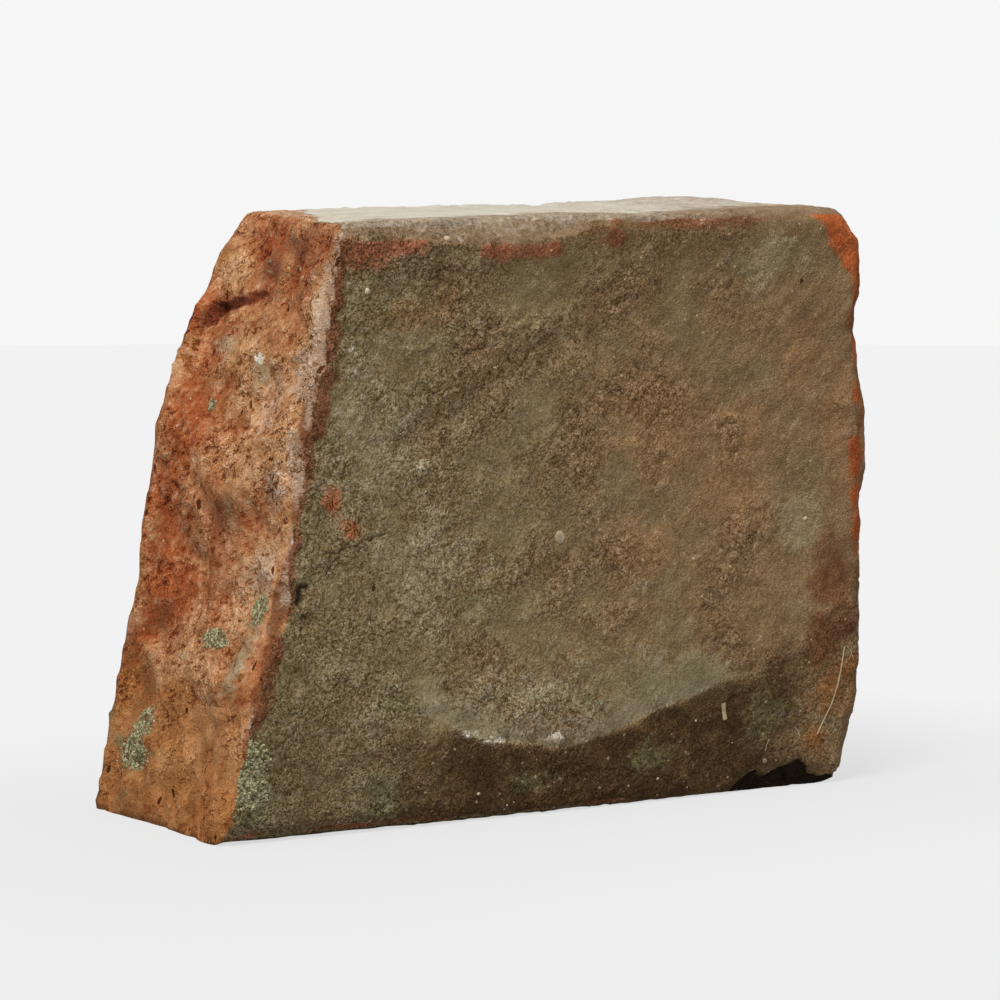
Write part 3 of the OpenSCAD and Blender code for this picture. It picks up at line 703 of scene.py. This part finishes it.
# Straw: a chip and thin dry stems that stuck to the soil on the front face. Each is a
# flat or round stalk laid along the clay: half its width, half its depth and its points,
# in mm, with the chip first.
STALKS = ((0.5, 0.25, ((36.5, 17.2), (36.8, 15.6), (37.2, 14.0))),
          (0.17, 0.15, ((64.2, 25.6), (63.9, 22.6), (63.2, 19.0), (61.8, 15.0), (59.9, 11.6), (58.8, 9.6))),
          (0.1, 0.1, ((64.5, 25.8), (65.6, 25.0), (66.4, 23.2))),
          (0.09, 0.09, ((47.4, 9.6), (47.0, 8.4), (46.9, 7.4))),
          (0.12, 0.08, ((53.3, 11.4), (54.3, 10.4), (54.7, 9.4))))
STALK_SIDES = 6
litter = bmesh.new()
for half_width, half_depth, points in STALKS:
    path = [seat(Vector((x * MM, OUTSIDE, z * MM)), Vector((0.0, 1.0, 0.0)))[0] for x, z in points]
    start = (path[1] - path[0]).normalized()
    outward = Vector((0.0, -1.0, 0.0))
    turn = Matrix((start.cross(outward), outward, start)).transposed().to_4x4()
    shape = Matrix.Diagonal((half_width * MM, half_depth * MM, 1.0, 1.0))
    rings = [bmesh.ops.create_circle(litter, segments=STALK_SIDES, radius=1.0,
                                     matrix=Matrix.Translation(place) @ turn @ shape)["verts"]
             for place in path]
    for ring, next_ring in zip(rings, rings[1:]):
        for side in range(STALK_SIDES):
            litter.faces.new((ring[side - 1], ring[side], next_ring[side], next_ring[side - 1]))
    litter.faces.new(rings[-1])
bmesh.ops.recalc_face_normals(litter, faces=litter.faces)
straw_mesh = bpy.data.meshes.new("straw")
litter.to_mesh(straw_mesh)
litter.free()
straw = bpy.data.objects.new("straw", straw_mesh)
scene.collection.objects.link(straw)
# Dry straw: pale, slightly glossy, with a fine mottle of paler and darker tones
straw_finish = bpy.data.materials.new("dry_straw")
straw_finish.use_nodes = True
tree = straw_finish.node_tree
shader = tree.nodes["Principled BSDF"]
shader.inputs["Roughness"].default_value = 0.6
shader.inputs["Specular IOR Level"].default_value = 0.35
spot_at = add(tree, "ShaderNodeTexCoord", {}).outputs["Object"]
FIBRE = 0.5 * MM
fibres = add(tree, "ShaderNodeTexNoise", {"Vector": spot_at, "Scale": 1 / FIBRE,
                                          "Detail": 3.0}).outputs["Fac"]
dry = add(tree, "ShaderNodeMixRGB", {"Fac": fibres, "Color1": linear("#7d6e50"),
                                     "Color2": linear("#b8ab8a")})
tree.links.new(dry.outputs[0], shader.inputs["Base Color"])
straw_mesh.materials.append(straw_finish)
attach(straw, "root")

# The stage: a plain pale floor that ends in a pale backdrop, which is the world's own
# colour. The camera sees the floor mostly at its own brightness, with a faint shadow.
FLOOR_REACH = 1.21
# Level direction in which the camera looks: the floor dims a little towards the camera.
CAMERA_LOOKS = (0.555, 0.832, 0.0)
floor_mesh = bpy.data.meshes.new("floor")
disc = bmesh.new()
bmesh.ops.create_circle(disc, cap_ends=True, segments=128, radius=FLOOR_REACH)
disc.to_mesh(floor_mesh)
disc.free()
floor = bpy.data.objects.new("floor", floor_mesh)
scene.collection.objects.link(floor)
floor_finish = bpy.data.materials.new("pale_floor")
floor_finish.use_nodes = True
tree = floor_finish.node_tree
tree.nodes.clear()
ray = add(tree, "ShaderNodeLightPath", {}).outputs
shown = add(tree, "ShaderNodeMath", {0: ray["Is Camera Ray"], 1: ray["Is Glossy Ray"]},
            operation="ADD").outputs[0]
shown = add(tree, "ShaderNodeMath", {0: shown, 1: ray["Is Transmission Ray"]}, operation="ADD").outputs[0]
floor_at = add(tree, "ShaderNodeTexCoord", {}).outputs["Object"]
# Away from the brick's own footprint the floor grows even.
out = add(tree, "ShaderNodeVectorMath", {0: floor_at}, operation="ABSOLUTE").outputs[0]
out = add(tree, "ShaderNodeVectorMath", {0: out, 1: (high.x, high.y, 0.0)}, operation="SUBTRACT").outputs[0]
out = add(tree, "ShaderNodeVectorMath", {0: out, 1: (0.0, 0.0, 0.0)}, operation="MAXIMUM").outputs[0]
out = add(tree, "ShaderNodeVectorMath", {0: out}, operation="LENGTH").outputs["Value"]
near_share = add(tree, "ShaderNodeMapRange", {"Value": out, "From Max": 0.1, "To Min": 0.75,
                                              "To Max": 1.0}).outputs[0]
behind = add(tree, "ShaderNodeVectorMath", {0: floor_at, 1: CAMERA_LOOKS},
             operation="DOT_PRODUCT").outputs["Value"]
dimmed = add(tree, "ShaderNodeMapRange", {"Value": behind, "From Min": -0.16, "From Max": 0.0,
                                          "To Min": 0.96}).outputs[0]
lit = add(tree, "ShaderNodeBsdfDiffuse", {"Color": linear("#a8a8a8")})
even = add(tree, "ShaderNodeEmission", {"Color": linear("#f2f2f2"), "Strength": dimmed})
evenness = add(tree, "ShaderNodeMath", {0: shown, 1: near_share}, operation="MULTIPLY", use_clamp=True)
seen = add(tree, "ShaderNodeMixShader", {0: evenness.outputs[0], 1: lit.outputs[0], 2: even.outputs[0]})
add(tree, "ShaderNodeOutputMaterial", {"Surface": seen.outputs[0]})
floor_mesh.materials.append(floor_finish)

# Light: an even pale room, and one broad soft lamp high on the left and in front. What the
# camera sees of the room is the backdrop.
world = bpy.data.worlds.new("pale_room")
scene.world = world
world.use_nodes = True
tree = world.node_tree
tree.nodes.clear()
ray = add(tree, "ShaderNodeLightPath", {}).outputs
shown = add(tree, "ShaderNodeMath", {0: ray["Is Camera Ray"], 1: ray["Is Glossy Ray"]},
            operation="ADD").outputs[0]
shown = add(tree, "ShaderNodeMath", {0: shown, 1: ray["Is Transmission Ray"]},
            operation="ADD", use_clamp=True).outputs[0]
room = add(tree, "ShaderNodeBackground", {"Color": linear("#ffffff"), "Strength": 0.6})
backdrop = add(tree, "ShaderNodeBackground", {"Color": linear("#f6f6f6"), "Strength": 1.0})
seen = add(tree, "ShaderNodeMixShader", {0: shown, 1: room.outputs[0], 2: backdrop.outputs[0]})
add(tree, "ShaderNodeOutputWorld", {"Surface": seen.outputs[0]})
lamp_data = bpy.data.lights.new("soft_lamp", "AREA")
lamp_data.shape = "DISK"
lamp_data.size = 0.5
lamp_data.energy = 20.0
lamp = bpy.data.objects.new("soft_lamp", lamp_data)
lamp.location = (-0.5, -0.38, 1.15)
lamp.rotation_mode = "QUATERNION"
lamp.rotation_quaternion = (-lamp.location).to_track_quat("-Z", "Y")
scene.collection.objects.link(lamp)

# The camera: a long lens about a metre away, a little above the brick and to the left of
# its front face.
camera_data = bpy.data.cameras.new("camera")
camera_data.sensor_width = 36
camera_data.lens = 200
camera = bpy.data.objects.new("camera", camera_data)
scene.collection.objects.link(camera)
scene.camera = camera
yaw, pitch, distance = math.radians(33.71), math.radians(5.54), 1.0141
aim = Vector((4.24, 0.0, 54.09)) * MM
away = Vector((-math.sin(yaw) * math.cos(pitch), -math.cos(yaw) * math.cos(pitch), math.sin(pitch)))
camera.location = aim + away * distance
camera.rotation_mode = "QUATERNION"
camera.rotation_quaternion = (-away).to_track_quat("-Z", "Y")
scene.view_settings.view_transform = "Standard"

bpy.context.view_layer.update()
